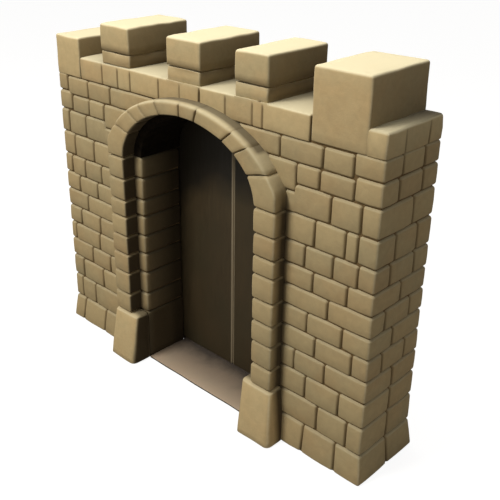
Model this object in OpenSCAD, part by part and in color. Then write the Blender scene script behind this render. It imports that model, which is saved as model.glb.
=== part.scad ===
// Castle gate: a length of crenellated ashlar wall with an arched, double-leaf gateway.
// Millimetres, +Z up. The front faces -Y. The origin is on the ground, under the middle of
// the whole footprint, which is the wall with its splayed foot and the stone surround.

/* [Wall] */
// Length of the wall piece
wall_w = 5460; // [4550:10:6560]
// Thickness of the wall
wall_d = 1020; // [850:10:1230]
// Height of the foot course
foot_h = 382; // [300:2:460]
// How far the foot course splays out at the ground
foot_splay = 50; // [20:5:100]

/* [Battlements] */
// Height of the top course, under the merlons and the crenels
parapet_h = 286; // [240:2:340]
// Height of the full merlons above the crenel floor
merlon_h = 512; // [430:2:620]
// Height of the low end merlon above the crenel floor
low_merlon_h = 254; // [200:2:320]
// Height of the lower block of a two-block merlon
merlon_block_h = 160; // [130:2:200]
// How far a merlon's lower block is set in under its cap
cap_overhang = 8; // [4:1:20]
// Width of merlon 1, at the left end
merlon_1_w = 540; // [450:5:640]
// Width of merlon 2
merlon_2_w = 585; // [490:5:700]
// Width of merlon 3
merlon_3_w = 600; // [500:5:720]
// Width of merlon 4
merlon_4_w = 510; // [430:5:610]
// Width of merlon 5
merlon_5_w = 715; // [600:5:860]
// Width of the low shoulder at the right end
shoulder_w = 215; // [150:5:260]
// Bevel along the top edges of the battlements
edge_bevel = 22; // [10:1:40]

/* [Archway] */
// Offset of the archway from the middle of the wall
gate_x = 50; // [-100:10:120]
// Clear width of the passage
open_w = 2020; // [1690:10:2420]
// Height of the arch's springing above the ground
spring_h = 3068; // [2560:2:3680]
// Rise of the surround's arch from its springing to its crown
arch_rise = 774; // [646:2:928]
// Wall left between the surround's crown and the top course
crown_cover = 72; // [60:1:90]
// How much lower the passage's crown is than the surround's
crown_drop = 62; // [52:1:74]
// Depth of the passage in front of the leaves
reveal_d = 680; // [570:10:815]
// Width of the stone surround's jambs
jamb_w = 325; // [270:5:390]
// How far the surround stands out from the wall
jamb_proj = 200; // [165:5:240]
// Step between the surround's jamb and the passage wall
rebate_w = 140; // [110:5:170]
// Thickness of the ring of voussoirs at its crown
ring_t = 180; // [150:2:216]
// Height of the surround's base blocks
base_block_h = 753; // [620:1:900]
// How much wider the base blocks are than the jambs on them
base_block_step = 15; // [5:5:25]
// How much the base blocks splay out at the ground, to the front
base_block_splay = 110; // [90:5:130]
// How much the base blocks splay out at the ground, to the side
base_block_side_splay = 70; // [55:5:85]
// Thickness of the threshold slab
sill_h = 30; // [20:2:50]

/* [Gate leaves] */
// Thickness of each leaf
leaf_t = 90; // [75:5:110]
// Overlap of a leaf on the passage wall it shuts against
leaf_lap = 90; // [75:5:110]
// Overlap of a leaf on the arch head it shuts against
head_lap = 40; // [30:5:45]
// Clearance between the two leaves
meet_gap = 12; // [10:1:20]
// Clearance of a leaf to the stone in front of it and to the sill
leaf_gap = 8; // [6:1:12]
// Radius of the hinge pins
pin_r = 16; // [12:1:20]
// Radial clearance of an eye on its hinge pin
pin_clear = 0.1; // [0.05:0.05:0.1]
// Length of the hinge straps
strap_l = 720; // [500:10:800]
// Height of the lower hinges above the ground
hinge_low_z = 720; // [600:10:860]
// Depth of the upper hinges below the springing
hinge_drop = 420; // [350:10:500]

/* [Hidden] */
$fn = 64;
// Levels of the main beds
spring_z = spring_h;
parapet_z = spring_z + arch_rise + crown_cover;
wall_h = parapet_z + parapet_h;
// Archway half spans, seen from its own centre line
open_r = open_w / 2;
ring_r = open_r + rebate_w;
jamb_r = ring_r + jamb_w;
block_r = jamb_r + base_block_step;
// Rises of the half-elliptical arches, from the surround back to the rear of the passage
ring_rise = arch_rise;
open_rise = ring_rise - crown_drop;
leaf_rise = open_rise + head_lap;
head_space = 36;
springer_side = 220;
ring_out_r = jamb_r;
ring_out_rise = ring_rise + ring_t;
// Depths, from the front face to the back one
mid_y = (jamb_proj + base_block_splay - foot_splay) / 2;
front_y = mid_y - wall_d / 2;
back_y = mid_y + wall_d / 2;
stop_y = front_y + reveal_d;
leaf_y = stop_y + leaf_gap;
// Hinges
eye_r = pin_r + 16;
eye_space = 3;
eye_side = 13;
strap_t = 12;
strap_h = 80;
pivot_y = leaf_y + leaf_t + eye_space + eye_r;
leaf_x1 = open_r + leaf_lap;
pivot_r = leaf_x1 + eye_space + eye_r;
rear_r = pivot_r + eye_r + eye_side;
leaf_z0 = sill_h + leaf_gap;
hinge_zs = [hinge_low_z, spring_z - hinge_drop];
bracket_h = 45;
// The rear arch springs above the part of an open leaf's head that stays within the wall
leaf_in = max(0, back_y - pivot_y - (pivot_r - leaf_x1));
rear_lift = leaf_rise * sqrt(1 - pow(1 - leaf_in / leaf_x1, 2));
rear_rise = leaf_rise + head_space - rear_lift;
// Battlements, from the left end; the crenels share the length that the merlons leave
gaps_w = wall_w - merlon_1_w - merlon_2_w - merlon_3_w - merlon_4_w - merlon_5_w - shoulder_w;
crenel_part = [0.213, 0.302, 0.231, 0.254];
m1_x = -wall_w / 2;
m2_x = m1_x + merlon_1_w + gaps_w * crenel_part[0];
m3_x = m2_x + merlon_2_w + gaps_w * crenel_part[1];
m4_x = m3_x + merlon_3_w + gaps_w * crenel_part[2];
m5_x = m4_x + merlon_4_w + gaps_w * crenel_part[3];
shoulder_x = m5_x + merlon_5_w;
// Joints of the voussoirs, in degrees round the arch from its right springing
joint_deg = [152, 135, 124, 110, 92, 80, 56, 44, 26];

stone = [0.62, 0.54, 0.38];
stone_light = [0.68, 0.6, 0.43];
stone_dark = [0.5, 0.43, 0.3];
timber = [0.24, 0.2, 0.15];
iron = [0.13, 0.12, 0.11];

// ---- shared shapes ----

// A box between two corners
module block(x0, x1, y0, y1, z0, z1) {
    translate([x0, y0, z0])
        cube([x1 - x0, y1 - y0, z1 - z0]);
}

// Extrudes an outline drawn in X and Z from the depth y0 to y1
module along_y(y0, y1) {
    translate([0, y1, 0])
        rotate([90, 0, 0])
            linear_extrude(height = y1 - y0)
                children();
}

// Extrudes an outline drawn in Y and Z from x0 to x1
module along_x(x0, x1) {
    translate([x0, 0, 0])
        rotate([90, 0, 90])
            linear_extrude(height = x1 - x0)
                children();
}

// The outline of a box whose two top corners are bevelled
module bevelled(a0, a1, z0, z1) {
    polygon([[a0, z0], [a1, z0], [a1, z1 - edge_bevel], [a1 - edge_bevel, z1],
        [a0 + edge_bevel, z1], [a0, z1 - edge_bevel]]);
}

// A battlement stone: a box through the wall's thickness, bevelled round its top
module top_stone(x0, x1, z0, z1) {
    intersection() {
        along_y(front_y, back_y)
            bevelled(x0, x1, z0, z1);
        along_x(x0, x1)
            bevelled(front_y, back_y, z0, z1);
    }
}

// The lower block of a merlon, set in all round
module under_stone(x0, w) {
    block(x0 + cap_overhang, x0 + w - cap_overhang, front_y + cap_overhang,
        back_y - cap_overhang, wall_h, wall_h + merlon_block_h);
}

// Mirrors a right-hand piece of the archway to the left when side is -1
module gate_side(side) {
    translate([gate_x, 0, 0])
        mirror([side < 0 ? 1 : 0, 0, 0])
            children();
}

// Points of a half-elliptical arch between two angles, lifted above the springing by lift
function arc(rx, rz, from, to, steps = 24, lift = 0) =
    [for (i = [0 : steps]) let (t = from + (to - from) * i / steps)
        [rx * cos(t), spring_z + lift + rz * sin(t)]];

// ---- wall ----

// The foot course of one side, splayed out at the ground on its free faces
module foot(side) {
    end_x = wall_w / 2 - side * gate_x;
    difference() {
        gate_side(side)
            intersection() {
                along_y(front_y - foot_splay, back_y + foot_splay)
                    polygon([[jamb_r, 0], [end_x + foot_splay, 0], [end_x, foot_h],
                        [jamb_r, foot_h]]);
                along_x(jamb_r, end_x + foot_splay)
                    polygon([[front_y - foot_splay, 0], [back_y + foot_splay, 0],
                        [back_y, foot_h], [front_y, foot_h]]);
            }
        base_block(side);
    }
}

module foot_left() {
    color(stone)
        foot(-1);
}

module foot_right() {
    color(stone)
        foot(1);
}

module wall_left() {
    color(stone)
        block(-wall_w / 2, gate_x - jamb_r, front_y, back_y, foot_h, parapet_z);
}

module wall_right() {
    color(stone)
        block(gate_x + jamb_r, wall_w / 2, front_y, back_y, foot_h, parapet_z);
}

module parapet_left() {
    color(stone)
        block(m1_x + merlon_1_w, gate_x - jamb_r, front_y, back_y, parapet_z, wall_h);
}

module parapet_middle() {
    color(stone)
        block(gate_x - jamb_r, gate_x + jamb_r, front_y, back_y, parapet_z, wall_h);
}

module parapet_right() {
    color(stone)
        block(gate_x + jamb_r, m5_x, front_y, back_y, parapet_z, wall_h);
}

// ---- battlements ----

module merlon_1() {
    color(stone_light)
        top_stone(m1_x, m1_x + merlon_1_w, parapet_z, wall_h + low_merlon_h);
}

module merlon_2_block() {
    color(stone)
        under_stone(m2_x, merlon_2_w);
}

module merlon_2_cap() {
    color(stone_light)
        top_stone(m2_x, m2_x + merlon_2_w, wall_h + merlon_block_h, wall_h + merlon_h);
}

module merlon_3_block() {
    color(stone)
        under_stone(m3_x, merlon_3_w);
}

module merlon_3_cap() {
    color(stone_light)
        top_stone(m3_x, m3_x + merlon_3_w, wall_h + merlon_block_h, wall_h + merlon_h);
}

module merlon_4_block() {
    color(stone)
        under_stone(m4_x, merlon_4_w);
}

module merlon_4_cap() {
    color(stone_light)
        top_stone(m4_x, m4_x + merlon_4_w, wall_h + merlon_block_h, wall_h + merlon_h);
}

module merlon_5() {
    color(stone_light)
        top_stone(m5_x, shoulder_x, parapet_z, wall_h + merlon_h);
}

module shoulder() {
    color(stone)
        top_stone(shoulder_x, wall_w / 2, parapet_z, wall_h);
}

// ---- surround ----

// A base block, splayed at the ground to the front and to the outside
module base_block(side) {
    gate_side(side)
        intersection() {
            along_y(front_y - jamb_proj - base_block_splay, front_y)
                polygon([[open_r, 0], [block_r + base_block_side_splay, 0],
                    [block_r, base_block_h], [open_r, base_block_h]]);
            along_x(open_r, block_r + base_block_side_splay)
                polygon([[front_y - jamb_proj - base_block_splay, 0], [front_y, 0],
                    [front_y, base_block_h], [front_y - jamb_proj, base_block_h]]);
        }
}

module base_block_left() {
    color(stone_light)
        base_block(-1);
}

module base_block_right() {
    color(stone_light)
        base_block(1);
}

module jamb(side) {
    gate_side(side)
        block(ring_r, jamb_r, front_y - jamb_proj, front_y, base_block_h, spring_z);
}

module jamb_left() {
    color(stone)
        jamb(-1);
}

module jamb_right() {
    color(stone)
        jamb(1);
}

// A springer: upright on the jamb, its outer shoulder cut back to meet the ring
module springer(side, top_deg) {
    gate_side(side)
        along_y(front_y - jamb_proj, front_y)
            polygon(concat([[jamb_r, spring_z], [jamb_r, spring_z + springer_side]],
                [[ring_out_r * cos(top_deg), spring_z + ring_out_rise * sin(top_deg)]],
                arc(ring_r, ring_rise, top_deg, 0, 8)));
}

module springer_left() {
    color(stone_light)
        springer(-1, 180 - joint_deg[0]);
}

module springer_right() {
    color(stone_light)
        springer(1, joint_deg[8]);
}

// Voussoir n of the ring, counted from the left springer
module voussoir(n) {
    gate_side(1)
        along_y(front_y - jamb_proj, front_y)
            polygon(concat(
                arc(ring_r, ring_rise, joint_deg[n - 1], joint_deg[n], 6),
                arc(ring_out_r, ring_out_rise, joint_deg[n], joint_deg[n - 1], 6)));
}

module voussoir_1() {
    color(stone_light)
        voussoir(1);
}

module voussoir_2() {
    color(stone_light)
        voussoir(2);
}

module voussoir_3() {
    color(stone_light)
        voussoir(3);
}

module voussoir_4() {
    color(stone_light)
        voussoir(4);
}

module voussoir_5() {
    color(stone_light)
        voussoir(5);
}

module voussoir_6() {
    color(stone_light)
        voussoir(6);
}

module voussoir_7() {
    color(stone_light)
        voussoir(7);
}

module voussoir_8() {
    color(stone_light)
        voussoir(8);
}

// ---- passage ----

module reveal(side) {
    gate_side(side)
        block(open_r, jamb_r, front_y, stop_y, 0, spring_z);
}

module reveal_left() {
    color(stone_dark)
        reveal(-1);
}

module reveal_right() {
    color(stone_dark)
        reveal(1);
}

// Half of the masonry over an arch of the given half span, rise and lift
module arch_head(side, rx, rz, lift, y0, y1) {
    gate_side(side)
        along_y(y0, y1)
            polygon(concat([[0, parapet_z], [jamb_r, parapet_z], [jamb_r, spring_z + lift]],
                arc(rx, rz, 0, 90, lift = lift)));
}

module head_left() {
    color(stone_dark)
        arch_head(-1, open_r, open_rise, 0, front_y, stop_y);
}

module head_right() {
    color(stone_dark)
        arch_head(1, open_r, open_rise, 0, front_y, stop_y);
}

module rear_jamb(side) {
    gate_side(side)
        block(rear_r, jamb_r, stop_y, back_y, 0, spring_z + rear_lift);
}

module rear_jamb_left() {
    color(stone)
        rear_jamb(-1);
}

module rear_jamb_right() {
    color(stone)
        rear_jamb(1);
}

module rear_head_left() {
    color(stone)
        arch_head(-1, rear_r, rear_rise, rear_lift, stop_y, back_y);
}

module rear_head_right() {
    color(stone)
        arch_head(1, rear_r, rear_rise, rear_lift, stop_y, back_y);
}

// The slab underfoot, from the front face to the back one
module threshold() {
    color(stone_light)
        union() {
            block(gate_x - open_r, gate_x + open_r, front_y, stop_y, 0, sill_h);
            block(gate_x - rear_r, gate_x + rear_r, stop_y, back_y, 0, sill_h);
        }
}

// ---- gate leaves ----

// A leaf, its meeting edge rounded and its head following the arch
module leaf(side) {
    edge_r = leaf_t / 5;
    x0 = meet_gap / 2;
    x1 = leaf_x1;
    gate_side(side)
        intersection() {
            translate([0, 0, leaf_z0])
                linear_extrude(height = parapet_z - leaf_z0)
                    union() {
                        translate([x0 + edge_r, leaf_y])
                            square([x1 - x0 - edge_r, leaf_t]);
                        translate([x0, leaf_y + edge_r])
                            square([edge_r + 1, leaf_t - 2 * edge_r]);
                        for (y = [leaf_y + edge_r, leaf_y + leaf_t - edge_r])
                            translate([x0 + edge_r, y])
                                circle(r = edge_r);
                    }
            along_y(leaf_y - 1, leaf_y + leaf_t + 1)
                polygon(concat([[0, 0], [x1, 0]], arc(x1, leaf_rise, 0, 90)));
        }
}

module leaf_left() {
    color(timber)
        leaf(-1);
}

module leaf_right() {
    color(timber)
        leaf(1);
}

// A pair of strap hinges on the inner face of a leaf, each with an eye for its pin
module straps(side) {
    leaf_back = leaf_y + leaf_t;
    gate_side(side)
        for (z = hinge_zs)
            difference() {
                union() {
                    block(pivot_r - strap_l, pivot_r, leaf_back, leaf_back + strap_t,
                        z, z + strap_h);
                    translate([pivot_r, pivot_y, z])
                        cylinder(h = strap_h, r = eye_r);
                }
                translate([pivot_r, pivot_y, z - 1])
                    cylinder(h = strap_h + 2, r = pin_r + pin_clear);
            }
}

module straps_left() {
    color(iron)
        straps(-1);
}

module straps_right() {
    color(iron)
        straps(1);
}

// The hinge pins, each standing on a bracket let into the jamb behind the leaf
module pintles() {
    color(iron)
        for (side = [-1, 1])
            gate_side(side)
                for (z = hinge_zs) {
                    translate([pivot_r, pivot_y, z - 2 - bracket_h])
                        cylinder(h = bracket_h + 2 + strap_h + 10, r = pin_r);
                    translate([pivot_r, pivot_y, z - 2 - bracket_h])
                        cylinder(h = bracket_h, r = eye_r);
                    block(pivot_r, rear_r, pivot_y - eye_r * 0.8, pivot_y + eye_r * 0.8,
                        z - 2 - bracket_h, z - 2);
                }
}

foot_left();
foot_right();
wall_left();
wall_right();
parapet_left();
parapet_middle();
parapet_right();
merlon_1();
merlon_2_block();
merlon_2_cap();
merlon_3_block();
merlon_3_cap();
merlon_4_block();
merlon_4_cap();
merlon_5();
shoulder();
base_block_left();
base_block_right();
jamb_left();
jamb_right();
springer_left();
springer_right();
voussoir_1();
voussoir_2();
voussoir_3();
voussoir_4();
voussoir_5();
voussoir_6();
voussoir_7();
voussoir_8();
reveal_left();
reveal_right();
head_left();
head_right();
rear_jamb_left();
rear_jamb_right();
rear_head_left();
rear_head_right();
threshold();
leaf_left();
leaf_right();
straps_left();
straps_right();
pintles();
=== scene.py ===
"""Looks of the castle gate: coursed ashlar round a mortar core, a moulded stone surround, and
dark timber leaves with iron hinges. Metres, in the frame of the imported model, front towards -Y."""
import functools
import itertools
import math

import bmesh
import bpy
import numpy as np
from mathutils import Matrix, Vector

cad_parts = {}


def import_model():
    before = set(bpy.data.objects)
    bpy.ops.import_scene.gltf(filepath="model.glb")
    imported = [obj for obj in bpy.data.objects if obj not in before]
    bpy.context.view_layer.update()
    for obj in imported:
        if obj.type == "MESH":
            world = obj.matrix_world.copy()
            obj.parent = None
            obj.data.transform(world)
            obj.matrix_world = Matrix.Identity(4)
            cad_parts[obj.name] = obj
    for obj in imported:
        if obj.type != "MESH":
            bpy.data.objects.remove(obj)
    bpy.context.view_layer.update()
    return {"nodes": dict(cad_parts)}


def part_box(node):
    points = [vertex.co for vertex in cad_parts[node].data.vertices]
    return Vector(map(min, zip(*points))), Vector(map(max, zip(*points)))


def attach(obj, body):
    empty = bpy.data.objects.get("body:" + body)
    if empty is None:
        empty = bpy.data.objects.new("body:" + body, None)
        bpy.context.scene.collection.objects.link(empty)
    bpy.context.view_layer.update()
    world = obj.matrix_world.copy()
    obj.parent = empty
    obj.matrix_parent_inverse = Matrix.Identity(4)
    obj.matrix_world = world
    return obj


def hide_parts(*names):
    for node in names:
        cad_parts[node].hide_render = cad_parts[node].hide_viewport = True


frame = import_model()

# ---- sizes, read from the frame ----

wall_lo, wall_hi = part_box("wall_left")[0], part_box("wall_right")[1]
X0, X1 = wall_lo.x, wall_hi.x
FRONT, BACK = wall_lo.y, wall_hi.y
FOOT_Z, PARAPET_Z = wall_lo.z, wall_hi.z
TOP_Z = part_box("parapet_left")[1].z
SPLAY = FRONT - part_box("foot_left")[0].y
GATE_X = (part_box("jamb_left")[0].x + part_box("jamb_right")[1].x) / 2
OPEN_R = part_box("reveal_right")[0].x - GATE_X
RING_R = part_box("jamb_right")[0].x - GATE_X
JAMB_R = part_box("jamb_right")[1].x - GATE_X
REAR_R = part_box("rear_jamb_right")[0].x - GATE_X
JAMB_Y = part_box("jamb_right")[0].y
BASE_Z, SPRING_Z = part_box("jamb_right")[0].z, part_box("jamb_right")[1].z
REAR_SPRING_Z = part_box("rear_jamb_right")[1].z
STOP_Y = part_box("reveal_right")[1].y
RING_T = 0.180  # height of the ring at its crown
CROWN_DROP = 0.062  # how far the crown of the passage lies under that of the ring
REAR_COVER = 0.058  # what is left of the wall over the crown of the rear arch
RING_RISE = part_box("voussoir_5")[1].z - SPRING_Z - RING_T
OPEN_RISE = RING_RISE - CROWN_DROP
REAR_RISE = PARAPET_Z - REAR_COVER - REAR_SPRING_Z
LEAF_FRONT, LEAF_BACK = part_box("leaf_left")[0].y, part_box("leaf_left")[1].y
LEAF_R = GATE_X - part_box("leaf_left")[0].x
LEAF_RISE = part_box("leaf_left")[1].z - SPRING_Z
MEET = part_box("leaf_right")[0].x - GATE_X

# ---- how the stones are cut ----

GAP = 0.007  # a bed joint
UPRIGHT_GAP = 0.002
EDGE = 0.031  # rounding of a stone's edges
BULGE = 0.008  # how far a stone's face is cushioned
WOBBLE = 0.004  # how uneven a face is
CELL = 0.13  # largest quad of a stone's face
CURVE_CELL = 0.03  # the same on a stone that is cut to an arch
FACING = 0.17  # how deep the stones go into the wall
CORE_INSET = 0.032  # how deep the mortar lies in the joints
GROOVE = 0.026  # half the width of a joint that is cut into a larger block
GROOVE_DEPTH = 0.015
WALL_LAP = 0.06  # how far the wall's stones reach behind the surround
SET_IN = 0.05  # how deep the surround's stones are set into the face of the wall
FREE_EDGE = 0.034  # rounding of the free edges of merlons and jambs
TOP_EDGE = 0.022  # rounding of the top course and of what stands in a joint on it
CAP_JOINT = 0.016  # the open joint under the caps of the merlons
SHOULDER_LAP = 0.026  # how far the shoulder covers the rounded side of the last merlon
BLOCK_STEP = 0.015  # how much wider the base blocks are than the jambs
SPLAY_FROM = 1.7  # how far from the middle the foot begins to widen towards the ends
SPRINGER_H = 0.38
SPRINGER_UPRIGHT = 0.22  # height of the springers' upright outer side
VAULT_T = 0.16
REAR_RING_T = 0.14
REAR_CROWN_T = 0.036
REVEAL_T = 0.25
LEAF_FACE_T = 0.052
random = np.random.default_rng(7)

# Beds of the courses, from the ground to the floor of the crenels
BEDS = [0, 0.388, 0.75, 1.077, 1.362, 1.645, 1.918, 2.182, 2.446, 2.733, 3.066, 3.4, 3.642, 3.9, TOP_Z]
# How far the beds of the end stones lie above those of the front ones
END_RISE = [0, 0, 0.01, 0.012, 0.014, 0.012, 0.006, 0.01, 0.014, 0.008, 0.008, 0.014, 0.04, 0.03, 0]
# Upright joints of each course, from the foot up: front left of the gate, front right, right end
JOINTS = [
    ((-2.49, -1.98), (1.90, 2.37), (0.15,)),
    ((-2.54, -2.22), (2.085, 2.51), (0.14,)),
    ((-2.48, -1.99), (1.89, 2.375), (0.14,)),
    ((-2.22, -1.79), (1.71, 2.155), (0.145,)),
    ((-2.60, -2.02), (2.0, 2.51), (-0.09, 0.345)),
    ((-2.43, -1.98), (1.875, 2.36), (0.07,)),
    ((-2.24,), (2.15,), (-0.105, 0.36)),
    ((-2.41, -1.985), (1.925, 2.39), (0.145,)),
    ((-2.56, -2.245, -1.865), (1.8, 2.185, 2.51), (-0.095, 0.35)),
    ((-2.45, -2.01), (1.92, 2.325, 2.48), (-0.043, 0.355)),
    ((-2.55, -2.16), (2.11, 2.5), (0.23,)),
    ((-2.44, -2.055, -1.72), (1.635, 1.95, 2.39), (-0.075, 0.35)),
    ((-2.51, -2.055, -1.57), (1.395, 1.975, 2.365), (-0.043, 0.35)),
]
# The bed under the top course, and the course whose upright joints start at the springing
TOP_BED = 13
SPRING_COURSE = 10
# Upright joints of the top course between the first merlon and the last, and how deep each one is
TOP_JOINTS = [(-1.7, 1), (-1.375, 1), (-1.12, 1), (-0.57, 1), (-0.19, 0.5), (0.15, 2), (0.575, 0.8),
              (0.99, 0.8), (1.14, 1)]
SHOULDER_JOINTS = [(-0.05, 0.5), (0.385, 1)]
# The stones of this course that touch the ring hang down into the course below, to HANG_Z
HANGING_COURSE = 11
HANG_Z = 3.305
# Beds of the surround's jambs, left and right, between the base block and the springer
LEFT_BEDS = (1.05, 1.375, 1.665, 1.938, 2.225, 2.463, 2.768)
RIGHT_BEDS = (1.045, 1.363, 1.64, 1.938, 2.255, 2.487, 2.763)
# Joints of the ring, in degrees round it from the right springing
RING_DEG = (152, 135, 124, 110, 92, 80, 56, 44, 26)


# ---- mesh tools ----


@functools.lru_cache(None)
def lattice(nx, ny, nz):
    """The points on the faces of a box of nx by ny by nz grid lines, and quads that face out."""
    shell = np.ones((nx, ny, nz), bool)
    shell[1:-1, 1:-1, 1:-1] = False
    index = np.full(shell.shape, -1)
    index[shell] = np.arange(shell.sum())
    quads = []
    for axis, end in itertools.product(range(3), (0, -1)):
        face = np.take(index, end, axis)
        q = np.stack([face[:-1, :-1], face[1:, :-1], face[1:, 1:], face[:-1, 1:]], -1).reshape(-1, 4)
        quads.append(q[:, ::-1] if (end == 0) == (axis != 1) else q)
    return np.argwhere(shell), np.concatenate(quads)


def grid_lines(a, b, r0, r1, cell):
    """Grid lines from a to b, close together in the rounding at each end."""
    bend = math.tan(math.pi / 8)
    inner = np.linspace(a + r0, b - r1, max(2, round((b - a - r0 - r1) / cell) + 1))
    return np.concatenate([[a, a + r0 * (1 - bend)], inner, [b - r1 * (1 - bend), b]])


class Masonry:
    """Gathers blocks of stone into one mesh. Each block has its own tone. Each point knows how
    near it is to a joint (rim) and to a free corner (wear), and how high it is on its stone."""

    def __init__(self):
        self.points, self.quads, self.tones = [], [], []
        self.rims, self.wears, self.lifts = [], [], []
        self.count = 0

    def add(self, lo, hi, edge=EDGE, bulge=BULGE, wobble=WOBBLE, shape=None, cell=CELL, tone=None,
            meets=((0, 0, 1), (0, 0, 1)), grooves=(), across=0, cuts=()):
        """A rounded, slightly cushioned block between two corners. edge is one radius, or the
        radii at the low and at the high end of each axis. shape bends it into its place. meets
        marks its low and its high sides that meet another stone. grooves are the joints that part
        its upright faces into stones, each with its place along X (across 0) or Y (across 1) and
        its depth. cuts are extra grid lines in X."""
        lo, hi = np.array(lo, float), np.array(hi, float)
        size = hi - lo
        r_lo, r_hi = (np.zeros(3) + e for e in (edge if isinstance(edge, tuple) else (edge, edge)))
        r_lo, r_hi = np.minimum(r_lo, size * 0.45), np.minimum(r_hi, size * 0.45)
        lines = [grid_lines(lo[k], hi[k], r_lo[k], r_hi[k], cell) for k in range(3)]
        for at, _ in grooves:
            lines[across] = np.union1d(lines[across], at + GROOVE * np.linspace(-1, 1, 9))
        lines[0] = np.union1d(lines[0], np.array(cuts))
        ijk, quads = lattice(*[len(line) for line in lines])
        p = np.stack([lines[k][ijk[:, k]] for k in range(3)], -1)
        reach = np.concatenate([p - lo, hi - p], axis=1)
        met = np.ravel(meets).astype(bool)
        rim = np.exp(-reach[:, met].min(axis=1, initial=9) / 0.03)
        free = np.hstack([reach[:, ~met], np.full((len(p), 2), 9.0)])
        wear = np.exp(-np.sort(free, axis=1)[:, 1] / 0.024)
        inner = np.clip(p, lo + r_lo, hi - r_hi)
        d = p - inner
        p = inner + d / np.linalg.norm(d / np.where(d < 0, r_lo, r_hi), axis=1)[:, None]
        n = (p - (lo + hi) / 2) / (size / 2)
        fourth = n**4
        p -= n * bulge * (fourth.sum(1)[:, None] - fourth) / 2
        for _ in range(2):
            waves = random.normal(0, 9, (3, 3))
            p += wobble * np.sin(p @ waves + random.uniform(0, 6.3, 3)) / 2
        p = np.clip(p, lo, hi)
        lift = (p[:, 2] - lo[2]) / size[2]
        tones = np.full(len(p), random.normal(0, 1) if tone is None else tone)
        below_top = np.clip((hi[2] - 0.008 - p[:, 2]) / 0.05, 0, 1)
        for at, depth in grooves:
            near = np.clip(1 - np.abs(p[:, across] - at) / GROOVE, 0, 1) * below_top
            p[:, 1 - across] -= np.clip(n[:, 1 - across], -1, 1) ** 9 * GROOVE_DEPTH * depth * near**1.5
            rim = np.maximum(rim, near * (1 + depth))
            tones = np.where(p[:, across] > at, random.normal(0, 1), tones)
        if shape:
            p = shape(p)
        self.points.append(p)
        self.quads.append(quads + self.count)
        self.tones.append(tones)
        self.rims.append(rim)
        self.wears.append(wear)
        self.lifts.append(lift)
        self.count += len(p)

    def course_stone(self, lo, hi, **kw):
        """A stone that keeps half a joint clear on every side that isn't a face of the wall."""
        faces = np.array([(X0, FRONT, 0), (X1, BACK, TOP_Z)])
        meets = np.abs([lo, hi] - faces) > 1e-6
        gap = np.array([UPRIGHT_GAP, UPRIGHT_GAP, GAP]) / 2
        self.add(lo + gap * meets[0], hi - gap * meets[1], meets=meets, **kw)

    def piece(self, name, material, body, slot, *nodes):
        """Makes the gathered blocks one piece of the scene."""
        points, quads = np.concatenate(self.points), np.concatenate(self.quads)
        mesh = bpy.data.meshes.new(name)
        mesh.from_pydata(points.tolist(), [], quads.tolist())
        mesh.shade_smooth()
        labels = ("tone", "rim", "wear", "lift")
        for label, values in zip(labels, (self.tones, self.rims, self.wears, self.lifts)):
            layer = mesh.attributes.new(label, "FLOAT", "POINT")
            layer.data.foreach_set("value", np.concatenate(values).astype(np.float32))
        return as_piece(name, mesh, material, body, slot, *nodes)


def placed(name, data):
    """A new object in the scene."""
    obj = bpy.data.objects.new(name, data)
    bpy.context.scene.collection.objects.link(obj)
    return obj


def mesh_of(bm, name):
    """The mesh of a finished bmesh."""
    mesh = bpy.data.meshes.new(name)
    bm.to_mesh(mesh)
    bm.free()
    return mesh


def as_piece(name, mesh, material, body, slot, *nodes):
    """Puts a mesh into the scene as a piece that rides on a body and stands for CAD nodes."""
    obj = placed(name, mesh)
    mesh.materials.append(material)
    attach(obj, body)
    if nodes:
        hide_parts(*nodes)
    return obj


def prism(bm, outline, y0, y1):
    """Adds the prism between y0 and y1 whose outline is drawn in X and Z."""
    front = [bm.verts.new((x, y0, z)) for x, z in outline]
    back = [bm.verts.new((x, y1, z)) for x, z in outline]
    count = len(outline)
    faces = [bm.faces.new(front), bm.faces.new(back[::-1])]
    faces += [bm.faces.new((front[i], back[i], back[(i + 1) % count], front[(i + 1) % count]))
              for i in range(count)]
    bmesh.ops.recalc_face_normals(bm, faces=faces)
    bmesh.ops.triangulate(bm, faces=faces[:2])


def ellipse(rx, rz, spring, from_deg=0, to_deg=180, steps=48):
    """Points of a half-elliptical arch over the gateway, from one angle to another."""
    turn = np.radians(np.linspace(from_deg, to_deg, steps + 1))
    return [(GATE_X + rx * math.cos(t), spring + rz * math.sin(t)) for t in turn]


def ruled(inner, outer):
    """A shape for Masonry.add: maps (across, depth, along), with across and along from 0 to 1,
    to the strip between two curves. Each curve gives X and Z at a share of its length."""

    def place(p):
        a, b = inner(p[:, 2]), outer(p[:, 2])
        flat = a + (b - a) * p[:, [0]]
        return np.stack([flat[:, 0], p[:, 1], flat[:, 1]], -1)

    return place


def arc_curve(rx, rz, spring, from_deg, to_deg):
    """A curve along a half-elliptical arch over the gateway, from one angle to another."""

    def curve(share):
        t = np.radians(from_deg + (to_deg - from_deg) * share)
        return np.stack([GATE_X + rx * np.cos(t), spring + rz * np.sin(t)], -1)

    return curve


def line_curve(points):
    """A curve through corner points, each the same share of it after the last."""
    points = np.array(points)
    at = np.linspace(0, 1, len(points))
    return lambda share: np.stack([np.interp(share, at, points[:, k]) for k in (0, 1)], -1)


def arch_stone(stones, inner, outer, y0, y1, length, width, edge, closing=0, gap=GAP, **kw):
    """A stone between two curves, built at its true length and width and then bent into place.
    With closing at 1, its joints close towards the outer curve."""
    bent = ruled(inner, outer)

    def place(p):
        p = p / [width, 1, length]
        grow = closing * np.clip(p[:, 0] * 3.3 - 2.3, 0, 1) ** 2 * 0.08 / length
        p[:, 2] = np.clip(0.5 + (p[:, 2] - 0.5) * (1 + grow), -0.1, 1.1)
        return bent(p)

    stones.add((0, y0, gap / 2), (width, y1, length - gap / 2), edge=edge, shape=place, **kw)


# ---- materials ----


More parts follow.
